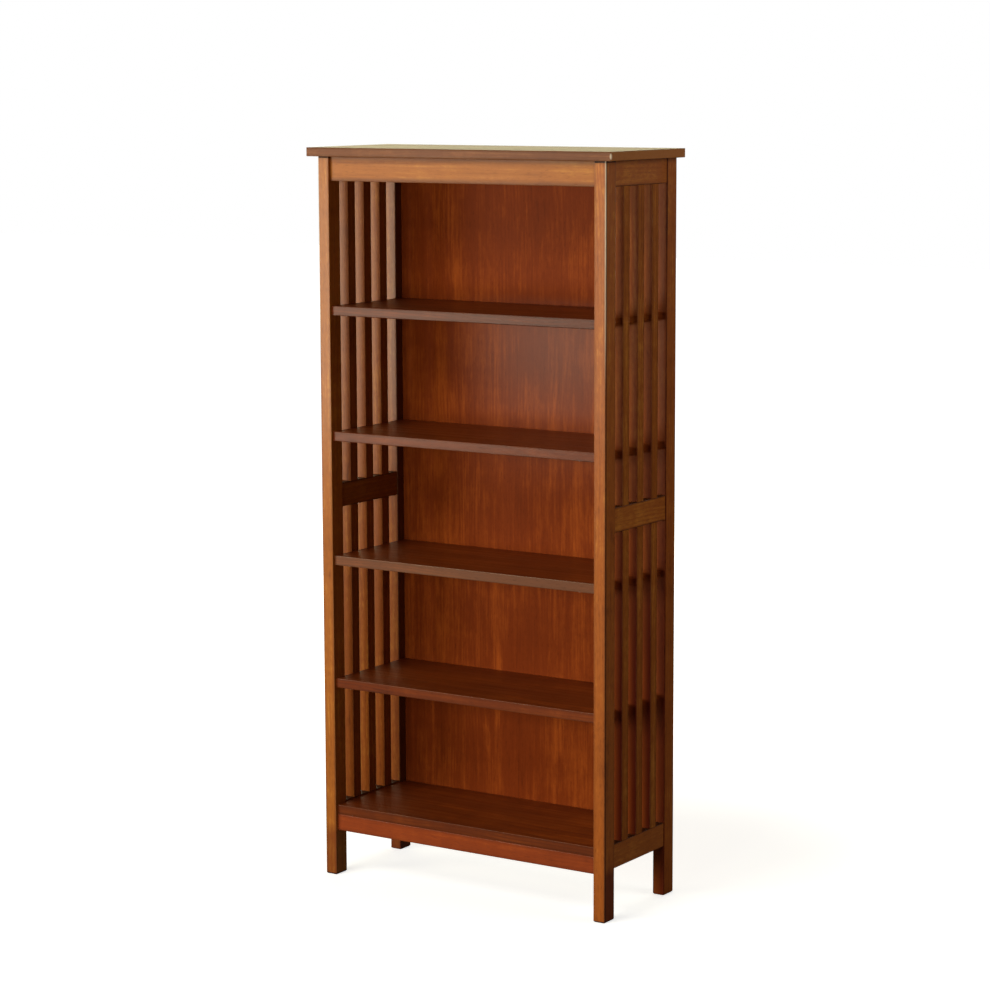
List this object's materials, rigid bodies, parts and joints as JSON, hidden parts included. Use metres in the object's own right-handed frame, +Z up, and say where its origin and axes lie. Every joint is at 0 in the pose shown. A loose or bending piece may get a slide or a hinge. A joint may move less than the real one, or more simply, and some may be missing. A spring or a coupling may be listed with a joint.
{
  "type": "media shelf",
  "caption": "Tall, shallow free-standing wooden media shelf with slatted sides, four square legs, fixed shelves, an inset back panel and an overhanging top.",
  "frame": {"origin": "on the floor, in the middle of the top board's footprint", "axes": "+X to the right seen from the front, +Y from the front to the wall, +Z up"},
  "size_m": [0.58, 0.229, 1.218],
  "materials": {
    "frame_wood": "warm brown stain under satin lacquer",
    "shelf_wood": "red-brown stain under satin lacquer",
    "panel_wood": "red-brown stain under satin lacquer",
    "dowel_wood": "plain fluted beech",
    "zinc": "cast zinc",
    "steel": "zinc-plated steel"
  },
  "bodies": {
    "root": {"top_panel": "frame_wood", "front_left_post": "frame_wood", "front_right_post": "frame_wood", "rear_left_post": "frame_wood", "rear_right_post": "frame_wood", "left_top_rail": "frame_wood", "left_middle_rail": "frame_wood", "left_bottom_rail": "frame_wood", "right_top_rail": "frame_wood", "right_middle_rail": "frame_wood", "right_bottom_rail": "frame_wood", "left_upper_slat_1": "frame_wood", "left_upper_slat_2": "frame_wood", "left_upper_slat_3": "frame_wood", "left_lower_slat_1": "frame_wood", "left_lower_slat_2": "frame_wood", "left_lower_slat_3": "frame_wood", "right_upper_slat_1": "frame_wood", "right_upper_slat_2": "frame_wood", "right_upper_slat_3": "frame_wood", "right_lower_slat_1": "frame_wood", "right_lower_slat_2": "frame_wood", "right_lower_slat_3": "frame_wood", "header_rail": "frame_wood", "front_apron": "frame_wood", "rear_top_rail": "frame_wood", "rear_apron": "frame_wood", "shelf_1": "shelf_wood", "shelf_2": "shelf_wood", "shelf_3": "shelf_wood", "shelf_4": "shelf_wood", "bottom_shelf": "shelf_wood", "back_panel": "panel_wood", "cam_bolts": "steel", "cam_locks": "zinc", "rail_dowels": "dowel_wood", "top_dowels": "dowel_wood", "top_screws": "steel", "back_panel_pins": "steel"}
  },
  "joints": []
}
